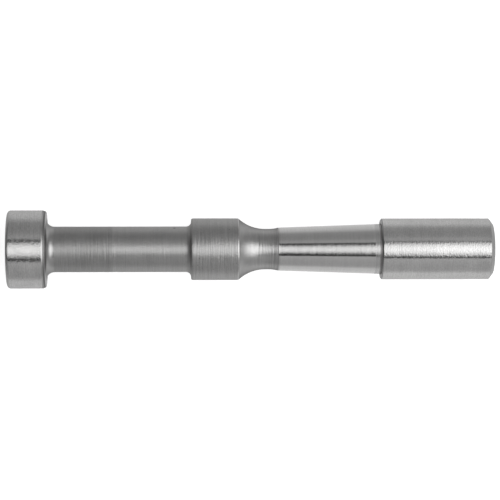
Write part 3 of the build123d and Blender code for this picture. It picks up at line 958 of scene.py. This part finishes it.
@dataclass
class DrawStem(TurnedPiece):
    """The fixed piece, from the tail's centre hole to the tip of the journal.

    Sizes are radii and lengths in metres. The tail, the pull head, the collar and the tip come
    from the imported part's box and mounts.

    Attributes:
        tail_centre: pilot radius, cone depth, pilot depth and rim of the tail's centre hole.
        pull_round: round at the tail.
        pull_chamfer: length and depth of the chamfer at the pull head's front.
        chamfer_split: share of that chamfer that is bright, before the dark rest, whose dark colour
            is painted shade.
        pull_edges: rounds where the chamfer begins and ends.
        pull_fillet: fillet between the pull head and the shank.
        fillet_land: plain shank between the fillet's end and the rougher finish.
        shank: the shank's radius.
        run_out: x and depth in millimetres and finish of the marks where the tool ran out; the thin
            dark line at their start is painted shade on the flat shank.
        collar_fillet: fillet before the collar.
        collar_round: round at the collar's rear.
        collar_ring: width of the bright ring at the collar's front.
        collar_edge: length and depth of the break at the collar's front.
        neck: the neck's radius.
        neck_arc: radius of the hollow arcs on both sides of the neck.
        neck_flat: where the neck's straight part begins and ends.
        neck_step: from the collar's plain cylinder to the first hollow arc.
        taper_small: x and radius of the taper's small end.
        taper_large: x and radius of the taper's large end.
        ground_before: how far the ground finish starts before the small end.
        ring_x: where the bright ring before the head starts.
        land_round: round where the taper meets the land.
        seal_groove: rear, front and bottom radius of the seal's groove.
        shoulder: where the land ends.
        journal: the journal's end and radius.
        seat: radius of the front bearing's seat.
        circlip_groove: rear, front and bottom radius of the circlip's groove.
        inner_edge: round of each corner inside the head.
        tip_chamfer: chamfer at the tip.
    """

    tail_centre: tuple[float, ...] = (1.25 * MM, 3.3 * MM, 3.7 * MM, 0.25 * MM)
    pull_round: float = 1.45 * MM
    pull_chamfer: Point = (1.4 * MM, 0.5 * MM)
    chamfer_split: float = 0.4
    pull_edges: Point = (0.25 * MM, 0.12 * MM)
    pull_fillet: float = 3.3 * MM
    fillet_land: float = 0.1 * MM
    shank: float = 9.325 * MM
    run_out: tuple[tuple[float, float, Skin], ...] = (
        # the first entry is a thin dark line of painted shade on the flat shank
        (-111.25, 0.0, Skin.EDGE_PAINTED_SHADE), (-111.14, 0.0, Skin.SHANK_REAR), (-109.80, 0.0, Skin.SHANK),
        (-108.85, 0.0, Skin.SHANK), (-108.35, 0.07, Skin.SHANK), (-108.25, 0.0, Skin.SHANK),
    )
    collar_fillet: float = 2.1 * MM
    collar_round: float = 0.75 * MM
    collar_ring: float = 0.25 * MM
    collar_edge: Point = (0.08 * MM, 0.09 * MM)
    neck: float = 8.295 * MM
    neck_arc: float = 15.8 * MM
    neck_flat: Point = (-47.513 * MM, -45.813 * MM)
    neck_step: float = 0.16 * MM
    taper_small: Point = (-41.5 * MM, 8.895 * MM)
    taper_large: Point = (-0.85 * MM, 10.25 * MM)
    ground_before: float = 0.55 * MM
    ring_x: float = -2.75 * MM
    land_round: float = 0.3 * MM
    seal_groove: Triple = (0.95 * MM, 2.55 * MM, 9.05 * MM)
    shoulder: float = 3.2 * MM
    journal: Point = (24.5 * MM, 6.0 * MM)
    seat: float = 4.5 * MM
    circlip_groove: Triple = (31.55 * MM, 32.65 * MM, 4.25 * MM)
    inner_edge: float = 0.08 * MM
    tip_chamfer: float = 0.5 * MM

    def outlines(self) -> list[Outline]:
        """One outline from the centre hole round to the journal's end.

        Returns:
            The outline, in a list.
        """
        low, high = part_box(self.node)
        tail, tip = low[0], high[0]
        pull_x, pull_r = mount("pull_face")["pos_m"][0], radius("pull_head")
        collar_x, collar_r = reach("collar_pilot"), radius("collar_pilot")
        return [Outline(
            CentreHole(tail, 1, *self.tail_centre).corners()
            + self.pull_head(tail, pull_x, pull_r)
            + self.shank_and_collar(pull_x, collar_x, collar_r)
            + self.neck_and_taper(collar_x[1])
            + self.inside(tip)
        )]

    def pull_head(self, tail: float, face: float, r: float) -> list[Corner]:
        """The head that the draw bar grips.

        Args:
            tail: its rear face.
            face: its front face.
            r: its radius.

        Returns:
            The corners.
        """
        length, depth = self.pull_chamfer
        split = self.chamfer_split
        return [
            Corner(tail, r, self.pull_round, Skin.GROUND_HEAD),
            Corner(face - length, r, self.pull_edges[0], Skin.NECK),
            # the rest of the chamfer, up to the face, has painted shade: a dark colour in place of
            # a dark reflection
            Corner(face - (1 - split) * length, r - split * depth, 0, Skin.CHAMFER_PAINTED_SHADE),
            Corner(face, r - depth, self.pull_edges[1], Skin.FACED),
        ]

    def shank_and_collar(self, face: float, collar: Point, r: float) -> list[Corner]:
        """The shank with its run-out marks, and the guide collar.

        Args:
            face: the pull head's front face.
            collar: where the collar's plain cylinder begins and ends.
            r: the collar's radius.

        Returns:
            The corners.
        """
        rear, front = collar[0] - self.collar_round, collar[1]
        edge_x, edge_r = self.collar_edge
        rough_x = face + self.pull_fillet + self.fillet_land
        return [
            Corner(face, self.shank, self.pull_fillet, Skin.FILLET),
            Corner(rough_x, self.shank, 0, Skin.SHANK_REAR),
            *(Corner(x * MM, self.shank - depth * MM, 0, skin) for x, depth, skin in self.run_out),
            Corner(rear, self.shank, self.collar_fillet, Skin.SHANK),
            Corner(rear, r, self.collar_round, Skin.COLLAR),
            Corner(front - self.collar_ring, r, 0, Skin.SKIMMED),
            # the collar's front face below the break has painted shade
            Corner(front + edge_x, r - edge_r, 0, Skin.EDGE_PAINTED_SHADE),
        ]

    def neck_and_taper(self, collar_front: float) -> list[Corner]:
        """The relief neck between two arcs, the ground taper and the land behind the head.

        The first arc meets the neck at a tangent, so at a distance d before the neck it is
        sqrt(R^2 - d^2) inside its centre line. A radius on the taper is on the straight line
        between its two ends.

        Args:
            collar_front: the end of the collar's plain cylinder.

        Returns:
            The corners.
        """
        start, end = self.neck_flat
        (small_x, small_r), (large_x, large_r) = self.taper_small, self.taper_large
        step_x = collar_front + self.neck_step
        inside = math.sqrt(self.neck_arc**2 - (start - step_x) ** 2)
        ground_x = small_x - self.ground_before
        cone = (small_r - self.neck) / (small_x - end)
        ring_r = small_r + (large_r - small_r) * (self.ring_x - small_x) / (large_x - small_x)
        return [
            Corner(step_x, self.neck + self.neck_arc - inside, 0, Skin.NECK, self.neck_arc),
            Corner(start, self.neck, 0, Skin.NECK),
            Corner(end, self.neck, 0, Skin.NECK, self.neck_arc),
            Corner(ground_x, self.neck + (ground_x - end) * cone, 0, Skin.TAPER),
            Corner(small_x, small_r, 0, Skin.TAPER),
            Corner(self.ring_x, ring_r, 0, Skin.SKIMMED),
            Corner(large_x, large_r, self.land_round, Skin.SHANK),
        ]

    def inside(self, tip: float) -> list[Corner]:
        """What the head hides: seal groove, shoulder, journal, bearing seat and circlip groove.

        Args:
            tip: the stem's front end.

        Returns:
            The corners.
        """
        land, edge, seat = self.taper_large[1], self.inner_edge, self.seat
        rear, front, bottom = self.seal_groove
        journal_x, journal_r = self.journal
        clip_rear, clip_front, clip_bottom = self.circlip_groove
        return [
            *stretch(Skin.BORED, (rear, land, edge), (rear, bottom, edge), (front, bottom, edge)),
            *stretch(
                Skin.GROUND, (front, land, edge), (self.shoulder, land, edge),
                (self.shoulder, journal_r, edge), (journal_x, journal_r, edge),
                (journal_x, seat, edge),
            ),
            *stretch(
                Skin.BORED, (clip_rear, seat), (clip_rear, clip_bottom), (clip_front, clip_bottom),
            ),
            *stretch(Skin.SHANK, (clip_front, seat), (tip - self.tip_chamfer, seat)),
            *stretch(Skin.FACED, (tip, seat - self.tip_chamfer), (tip, 0.0)),
        ]


@dataclass
class LiveHead(TurnedPiece):
    """The rotating shell: ground outside, with bores for the bearings and the plug's seat.

    Attributes:
        rear_break: depth of the break at the rear edge.
        chamfer_depth: depth of the front chamfer.
        rounds: rounds of the rear break's two edges, the chamfer's two edges and the bore's rear.
        mouth: where the plug's seat ends, and its radius.
        front_seat: where the front bearing's bore ends, and its radius.
        waist: where the narrow part ends, and its radius.
        needle_seat: where the needle cup's bore ends, and its radius.
        thrust_r: radius of the thrust bearing's bore.
        rim: size of the chamfer at the mouth.
    """

    rear_break: float = 0.45 * MM
    chamfer_depth: float = 2.15 * MM
    rounds: tuple[float, ...] = (0.05 * MM, 0.1 * MM, 0.15 * MM, 0.12 * MM, 0.15 * MM)
    mouth: Point = (38.0 * MM, 9.0 * MM)
    front_seat: Point = (24.8 * MM, 8.5 * MM)
    waist: Point = (20.8 * MM, 7.7 * MM)
    needle_seat: Point = (8.2 * MM, 9.0 * MM)
    thrust_r: float = 10.5 * MM
    rim: float = 0.2 * MM

    def outlines(self) -> list[Outline]:
        """A closed outline: forward outside, back through the bores.

        Returns:
            The outline, in a list.
        """
        low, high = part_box(self.node)
        plain, r = reach("live_head_pilot"), radius("live_head_pilot")
        rear, front = low[0], high[0]
        outside = (
            (rear, r - self.rear_break, Skin.CHAMFER), (plain[0], r, Skin.GROUND),
            (plain[1], r, Skin.CHAMFER), (front, r - self.chamfer_depth, Skin.FACED),
        )
        bores = [(front - self.rim, self.mouth[1])]
        steps = (self.mouth, self.front_seat, self.waist, self.needle_seat)
        for (x, _), (_, next_r) in zip(steps, (*steps[1:], (rear, self.thrust_r))):
            bores += [(x, bores[-1][1]), (x, next_r)]
        return [Outline([
            *(Corner(x, r, size, skin) for (x, r, skin), size in zip(outside, self.rounds)),
            # the chamfer into the mouth has painted shade
            Corner(front, self.mouth[1] + self.rim, 0, Skin.EDGE_PAINTED_SHADE),
            *stretch(Skin.BORED, *bores),
            Corner(rear, self.thrust_r, self.rounds[-1], Skin.FACED),
        ], closed=True)]


@dataclass
class NosePlug(TurnedPiece):
    """The plug that closes the head: a female 60 degree centre and two holes for a pin spanner.

    Attributes:
        nose_centre: pilot radius, cone depth, pilot depth and rim of the nose's centre hole.
        spigot: radius of the threaded spigot.
        spigot_round: round at its rear.
        seat: where it meets the head's mouth.
        seat_rounds: rounds inside and outside that step.
        body_r: radius of the plug's body.
        ring_groove: rear, front and bottom radius of the ring's groove.
        groove_round: round of the groove's corners.
        edge: chamfer at the outer edge.
        half_sector: facets on each side of a spanner hole.
        hole_depth: depth of a spanner hole.
        hole_chamfer: chamfer round a spanner hole.
    """

    nose_centre: tuple[float, ...] = (1.575 * MM, 6.8 * MM, 2.1 * MM, 0.35 * MM)
    spigot: float = 8.45 * MM
    spigot_round: float = 0.15 * MM
    seat: float = 38.0 * MM
    seat_rounds: Point = (0.05 * MM, 0.1 * MM)
    body_r: float = 9.0 * MM
    ring_groove: Triple = (36.25 * MM, 37.5 * MM, 7.45 * MM)
    groove_round: float = 0.08 * MM
    edge: float = 0.2 * MM
    half_sector: int = 20
    hole_depth: float = 2.5 * MM
    hole_chamfer: float = 0.12 * MM

    def mouth(self) -> list[Corner]:
        """The corners of the hole in the nose, from its point out to its mouth."""
        face = mount("nose_center")["pos_m"][0]
        return CentreHole(face, -1, *self.nose_centre).corners()

    def outlines(self) -> list[Outline]:
        """The rear, the thread and the outer edge, and then the centre hole.

        Returns:
            The two outlines.
        """
        rear, front = (corner[0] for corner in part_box(self.node))
        groove_rear, groove_front, bottom = self.ring_groove
        spigot, size = self.spigot, self.groove_round
        shell = Outline([
            Corner(rear, 0, 0, Skin.FACED),
            Corner(rear, spigot, self.spigot_round, Skin.SHANK),
            *stretch(
                Skin.BORED, (groove_rear, spigot, size), (groove_rear, bottom, size),
                (groove_front, bottom, size), (groove_front, spigot, size),
            ),
            Corner(self.seat, spigot, self.seat_rounds[0], Skin.FACED),
            Corner(self.seat, self.body_r, self.seat_rounds[1], Skin.SHANK),
            # the plug's outer chamfer has painted shade
            Corner(front - self.edge, self.body_r, 0, Skin.EDGE_PAINTED_SHADE),
            Corner(front, self.body_r - self.edge, 0, Skin.FACED),
        ])
        mouth = self.mouth()[::-1]
        skins = [corner.skin for corner in mouth[1:]] + [Skin.BORED]
        return [shell, Outline([Corner(c.x, c.r, 0, skin) for c, skin in zip(mouth, skins)])]

    def extras(self) -> list[Soup]:
        """The face between the outer edge and the centre hole, with its spanner holes.

        Returns:
            Its surfaces.
        """
        holes = mount("spanner_holes")["dims"]
        return FaceWithHoles(
            x=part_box(self.node)[1][0],
            inner=self.mouth()[-1].r,
            outer=self.body_r - self.edge,
            pitch=holes["pcd_mm"] * MM / 2,
            hole=holes["hole_r_mm"] * MM,
            depth=self.hole_depth,
            chamfer=self.hole_chamfer,
            half_sector=self.half_sector,
        ).soups()


@dataclass
class FaceWithHoles:
    """A flat ring that faces +X with two round blind holes at +Y and -Y.

    Round each hole the ring is a sector. A point of the sector is (1 - s) times a point of the
    hole's rim plus s times the sector's edge in the same direction, for s from 0 to 1. Elsewhere it
    is a plain polar grid.

    Attributes:
        x: place of the face.
        inner: its inner radius.
        outer: its outer radius.
        pitch: distance of the holes from the axis.
        hole: their radius.
        depth: their depth.
        chamfer: size of the chamfer round them.
        half_sector: facets of the ring on each side of a hole.
        rows: faces from the outer to the inner radius.
        sector_rows: faces from a hole's rim to its sector's edge.
    """

    x: float
    inner: float
    outer: float
    pitch: float
    hole: float
    depth: float
    chamfer: float
    half_sector: int
    rows: int = 6
    sector_rows: int = 4

    def soups(self) -> list[Soup]:
        """All surfaces of the ring and its holes.

        Returns:
            The surfaces.
        """
        step = 2 * np.pi / AROUND
        half = self.half_sector * step
        made: list[Soup] = []
        for middle in (0.0, np.pi):
            made += self.sector(middle, half)
            plain = np.arange(self.half_sector, AROUND // 2 - self.half_sector + 1) * step + middle
            made.append(self.polar(plain))
        return made

    def polar(self, angles: np.ndarray) -> Soup:
        """A plain polar grid over the given angles.

        Args:
            angles: edges of the grid in radians.

        Returns:
            The surface.
        """
        radii = np.linspace(self.outer, self.inner, self.rows + 1)
        grid_r, grid_a = np.meshgrid(radii, angles, indexing="ij")
        flat = np.stack([grid_r * np.cos(grid_a), grid_r * np.sin(grid_a)], axis=2)
        return self.sheet(flat, np.zeros(flat.shape[:2]), (1.0, 0.0), Skin.FACED)

    def sector(self, middle: float, half: float) -> list[Soup]:
        """The sector round one hole, the hole's chamfer, wall and bottom.

        Args:
            middle: the hole's angle.
            half: half the sector's angle.

        Returns:
            The surfaces.
        """
        across = np.linspace(-half, half, 2 * self.half_sector + 1) + middle
        sides = np.linspace(self.outer, self.inner, self.rows + 1)[1:-1]
        arc_out = self.outer * np.stack([np.cos(across), np.sin(across)], axis=1)
        arc_in = self.inner * np.stack([np.cos(across), np.sin(across)], axis=1)[::-1]
        side_up = sides[:, None] * np.array([np.cos(middle + half), np.sin(middle + half)])
        side_down = sides[::-1, None] * np.array([np.cos(middle - half), np.sin(middle - half)])
        edge = np.concatenate([arc_out, side_up, arc_in, side_down, arc_out[:1]])
        centre = self.pitch * np.array([np.cos(middle), np.sin(middle)])
        spoke = edge - centre
        spoke = spoke / np.linalg.norm(spoke, axis=1)[:, None]
        mouth = centre + (self.hole + self.chamfer) * spoke
        share = np.linspace(0, 1, self.sector_rows + 1)[::-1, None, None]
        face = (1 - share) * mouth[None] + share * edge[None]
        made = [self.sheet(face, np.zeros(face.shape[:2]), (1.0, 0.0), Skin.FACED)]
        rims = (self.hole + self.chamfer, self.hole, self.hole, 0.0)
        depths = (0.0, self.chamfer, self.depth, self.depth)
        # the chamfer round each spanner hole has painted shade
        for number, skin in enumerate((Skin.EDGE_PAINTED_SHADE, Skin.BORED, Skin.BORED)):
            (wide, narrow), (high, deep) = rims[number:number + 2], depths[number:number + 2]
            flat = centre + np.array((wide, narrow))[:, None, None] * spoke[None]
            down = np.broadcast_to(np.array((high, deep))[:, None], flat.shape[:2])
            size = math.hypot(deep - high, wide - narrow)
            lean = ((wide - narrow) / size, (high - deep) / size)
            made.append(self.sheet(flat, down, lean, skin, spoke))
        return made

    def sheet(
        self, flat: np.ndarray, down: np.ndarray, lean: Point, skin: Skin,
        spoke: np.ndarray | None = None,
    ) -> Soup:
        """Makes faces of a grid whose rows run inwards and whose columns run round.

        Args:
            flat: (rows, columns, 2) places in the face's plane.
            down: depth of each point below the face.
            lean: the normal's shares along +X and along the spoke.
            skin: the finish.
            spoke: unit vectors away from the hole's centre, one for each column.

        Returns:
            The surface.
        """
        places = np.concatenate([(self.x - down)[..., None], flat], axis=2)
        if spoke is None:
            spoke = np.zeros((flat.shape[1], 2))
        normals = np.concatenate([np.full((len(spoke), 1), lean[0]), lean[1] * spoke], axis=1)
        normals = np.broadcast_to(normals, (*flat.shape[:2], 3))
        radii = np.linalg.norm(flat, axis=2)
        angle = np.arctan2(flat[..., 1], flat[..., 0]) / (2 * np.pi)
        maps = np.stack([(self.outer - radii) / self.outer, angle], axis=2)

        def corners(grid: np.ndarray) -> np.ndarray:
            """The four corners of each face, turning towards +X."""
            faces = np.stack([grid[:-1, :-1], grid[:-1, 1:], grid[1:, 1:], grid[1:, :-1]], axis=2)
            return faces.reshape(-1, 4, grid.shape[-1])

        count = (flat.shape[0] - 1) * (flat.shape[1] - 1)
        made = (corners(grid) for grid in (places, normals, maps))
        return Soup(*made, [skin], np.zeros(count, dtype=int))


@dataclass
class InnerPieces:
    """CAD nodes inside the head that keep their meshes and get their finish here.

    Attributes:
        name: what the group is called in the log.
        finishes: the finish of each node.
    """

    name: str
    finishes: dict[str, Skin]

    def dress(self) -> None:
        """Gives each node its finish."""
        for node, skin in self.finishes.items():
            data = frame["nodes"][node].data
            data.materials.clear()
            data.materials.append(skin.value.material(along_outline=False))
        LOG.info("%s: %s", self.name, ", ".join(self.finishes))


# ---------------------------------------------------------------- the studio
@dataclass
class Studio:
    """Pale floor, soft light and camera.

    The light is all in the world: a long softbox overhead, with a thin dark flag along each side,
    and dimmer walls. A direction's angle across is its angle about X from straight up, positive
    towards +Y, and its angle along is how far it leans towards +X. The softbox's radiance is
    box(|across + box_shift| times narrowing(along)) times along(along). The walls' radiance is
    walls(across), or flag_fill(along) on the +Y side where that is more, times wall_fade(along).
    A direction shows whichever of the two is more. Each curve is its (degrees, height) points.

    Attributes:
        floor_radius: how far the floor reaches.
        floor_rings: rings of faces on the floor.
        floor_sectors: faces in each ring.
        first_ring: radius of the innermost ring.
        cove_start: share of the floor's radius where it starts to rise.
        cove: rise in metres for each square metre past that.
        floor_glow: how strongly the floor glows.
        papers: greys that the floor's mottling goes between.
        paper_mottles: how many mottles there are to a metre.
        camera_height: height of the camera over the axis.
        lens: focal length in millimetres.
        sensor: width of the sensor in millimetres.
        roll: turn of the camera about its own axis.
        foot: x of the point under the camera.
        side: y of that point.
        aim: how far beside the object's middle the camera looks, along X.
        box: the softbox's profile across.
        box_shift: how far the softbox is turned about X.
        walls: the walls' profile across.
        flag_fill: light on the +Y side's flag, along.
        fill_edge: angle in radians over which that light starts.
        along: the softbox's profile along.
        narrowing: how much narrower than its profile the softbox is, along.
        wall_fade: the walls' profile along.
    """

    floor_radius: float = 6.0
    floor_rings: int = 24
    floor_sectors: int = 96
    first_ring: float = 0.05
    cove_start: float = 0.7
    cove: float = 0.3
    floor_glow: float = 0.70
    papers: Point = (0.78, 0.82)
    paper_mottles: float = 9.0
    camera_height: float = 0.946
    lens: float = 166.25
    sensor: float = 36.0
    roll: float = math.radians(-0.095)
    foot: float = -85.0 * MM
    side: float = -0.3 * MM
    aim: float = -0.21 * MM
    box: Marks = (
        (0, 1.0), (4, 0.99), (8, 0.92), (12, 0.83), (16, 0.72), (20, 0.56), (24, 0.25), (27, 0.0),
        (180, 0.0),
    )
    box_shift: float = math.radians(1.8)
    walls: Marks = (
        (-180, 0.80), (-146, 0.78), (-126, 0.74), (-106, 0.70), (-95, 0.50), (-86, 0.44),
        (-68, 0.44), (-51, 0.48), (-39, 0.52), (-36.5, 0.5), (-34.8, 0.03), (-22, 0.01),
        (19, 0.01), (27, 0.02), (30.5, 0.41), (38, 0.42), (50, 0.33), (67, 0.31), (86, 0.35),
        (98, 0.50), (110, 0.65), (133, 0.72), (160, 0.74), (180, 0.80),
    )
    flag_fill: Marks = ((-90, 0.0), (3, 0.0), (5, 0.30), (90, 0.30))
    fill_edge: float = 0.1
    along: Marks = (
        (-90, 0.12), (-80, 0.15), (-60, 0.44), (-34, 0.56), (-26, 0.95), (-12, 1.30), (-4, 1.30),
        (-2.5, 1.10), (-1.2, 0.84), (1.4, 0.84), (3, 1.20), (5, 1.56), (11, 1.76), (17, 1.78),
        (23, 1.9), (29, 2.1), (36, 2.4), (42, 2.45), (48, 2.2), (55, 1.75), (61, 1.3), (70, 0.85),
        (80, 0.6), (86, 0.7), (90, 0.8),
    )
    narrowing: Marks = (
        (-90, 1.0), (-4, 1.02), (-2.2, 1.28), (-1.2, 1.5), (1.4, 1.5), (4, 0.9), (12, 0.9),
        (22, 0.75), (32, 0.6), (90, 0.6),
    )
    wall_fade: Marks = (
        (-90, 0.12), (-80, 0.16), (-60, 0.5), (-34, 0.62), (-12, 0.8), (-3.5, 0.84), (-1, 1.0),
        (48, 1.0), (70, 0.85), (80, 0.7), (86, 1.1), (90, 1.3),
    )

    def build(self) -> None:
        """Makes the floor, the light and the camera."""
        self.floor()
        self.light()
        self.camera()
        LOG.info("studio: floor, light and camera")

    def floor(self) -> bpy.types.Object:
        """A wide disc under the object that touches the pull head and the live head.

        Its line under the object runs through the lowest points of the two, which lie at different
        depths, so it leans a little. A point is (rho cos t, rho sin t) moved down to that plane,
        and far out it rises with the square of the distance, as a cove.

        Returns:
            The floor.
        """
        rear = (reach("pull_head")[1], -radius("pull_head"))
        front = (reach("live_head_pilot")[1], -radius("live_head_pilot"))
        slope = (front[1] - rear[1]) / (front[0] - rear[0])
        rings = np.geomspace(self.first_ring, self.floor_radius, self.floor_rings)
        rho = np.concatenate([[0.0], rings])
        turn = np.linspace(0, 2 * np.pi, self.floor_sectors + 1)[:-1]
        grid_rho, grid_turn = np.meshgrid(rho, turn, indexing="ij")
        x, y = grid_rho * np.cos(grid_turn), grid_rho * np.sin(grid_turn)
        far = np.maximum(grid_rho - self.cove_start * self.floor_radius, 0)
        z = rear[1] + slope * (x - rear[0]) + far**2 * self.cove
        row, column = np.meshgrid(np.arange(len(rho) - 1), np.arange(len(turn)), indexing="ij")
        here, over = row * len(turn) + column, row * len(turn) + (column + 1) % len(turn)
        faces = np.stack([here, here + len(turn), over + len(turn), over], axis=2).reshape(-1, 4)
        data = bpy.data.meshes.new("floor")
        data.from_pydata(np.stack([x, y, z], axis=2).reshape(-1, 3).tolist(), [], faces.tolist())
        data.validate()
        made = bpy.data.objects.new("floor", data)
        bpy.context.scene.collection.objects.link(made)
        data.materials.append(self.floor_material())
        made.visible_glossy = False
        return made

    def floor_material(self) -> bpy.types.Material:
        """Pale matt paper that glows a little, so that it stays near white.

        Returns:
            The material.
        """
        made, sheet = empty_material("pale_paper")
        mottle = sheet.noise(sheet.object_place(), self.paper_mottles, 3.0)
        sheet.surface({
            "Base Color": sheet.mix(mottle, tint(self.papers[0]), tint(self.papers[1])),
            "Roughness": 0.95, "Specular IOR Level": 0.1,
            "Emission Color": tint(1.0), "Emission Strength": self.floor_glow,
        })
        return made

    def light(self) -> None:
        """Makes the world's radiance, as described on the class."""
        world = bpy.data.worlds.new("soft_studio")
        bpy.context.scene.world = world
        world.use_nodes = True
        sheet = NodeSheet(world.node_tree)
        x, y, z = sheet.apart(sheet.object_place())
        across, lean = sheet.math("ARCTAN2", y, z), sheet.math("ARCSINE", x)
        narrowing, fade, fill, along = (
            sheet.curve(lean, 90, marks)
            for marks in (self.narrowing, self.wall_fade, self.flag_fill, self.along)
        )
        off = sheet.math("ABSOLUTE", sheet.math("ADD", across, self.box_shift))
        profile = sheet.curve(sheet.math("MULTIPLY", off, narrowing), 180, self.box)
        box = sheet.math("MULTIPLY", profile, along)
        fill = sheet.math("MULTIPLY", fill, sheet.remap(across, (0.0, self.fill_edge), (0.0, 1.0)))
        walls = sheet.math("MAXIMUM", sheet.curve(across, 180, self.walls), fill)
        glow = sheet.node("ShaderNodeBackground")
        strength = sheet.math("MAXIMUM", box, sheet.math("MULTIPLY", walls, fade))
        sheet.feed(glow.inputs["Color"], strength)
        output = sheet.node("ShaderNodeOutputWorld")
        sheet.feed(output.inputs["Surface"], glow.outputs[0])
        view = bpy.context.scene.view_settings
        view.view_transform = "Standard"
        view.look = "None"

    def camera(self) -> bpy.types.Object:
        """Looks down on the middle of the object from above a point nearer its rear end.

        Returns:
            The camera.
        """
        low, high = CAD_BOX
        data = bpy.data.cameras.new("camera")
        data.sensor_width = self.sensor
        data.lens = self.lens
        data.clip_start = 0.01
        made = bpy.data.objects.new("camera", data)
        middle = (low[0] + high[0]) / 2 + self.aim
        made.location = (self.foot, self.side, self.camera_height)
        lean = math.atan((middle - self.foot) / self.camera_height)
        made.rotation_euler = (0, -lean, self.roll)
        bpy.context.scene.collection.objects.link(made)
        bpy.context.scene.camera = made
        return made


def main() -> None:
    """Builds every piece and reports it."""
    logging.basicConfig(level=logging.INFO, format="%(message)s")
    DrawStem("stem_body", "draw_stem", "stem", "stem_steel").build()
    LiveHead("head_shell", "live_head", "head", "head_steel").build()
    NosePlug("nose_centre_plug", "nose_plug", "head", "plug_steel").build()
    for inner in (
        InnerPieces("thrust bearing", {
            "thrust_shaft_washer": Skin.RACE, "thrust_housing_washer": Skin.RACE,
            "thrust_balls": Skin.BALL, "thrust_cage": Skin.BRASS,
        }),
        InnerPieces("needle bearing", {
            "needle_cup": Skin.RACE, "needle_rollers": Skin.BALL, "needle_cage": Skin.PHOSPHATED,
        }),
        InnerPieces("front bearing", {
            "front_bearing_inner_ring": Skin.RACE, "front_bearing_outer_ring": Skin.RACE,
            "front_bearing_balls": Skin.BALL, "front_bearing_cage": Skin.POLYAMIDE,
            "rear_shield": Skin.SHEET, "front_shield": Skin.SHEET,
        }),
        InnerPieces("preload and circlip", {
            "preload_spring_rear": Skin.SPRING, "preload_spring_front": Skin.SPRING,
            "spring_support_washer": Skin.SPRING, "journal_circlip": Skin.SPRING,
        }),
        InnerPieces("seals", {"rear_seal": Skin.RUBBER, "nose_plug_o_ring": Skin.RUBBER}),
    ):
        inner.dress()
    Studio().build()


if __name__ == "__main__":
    main()
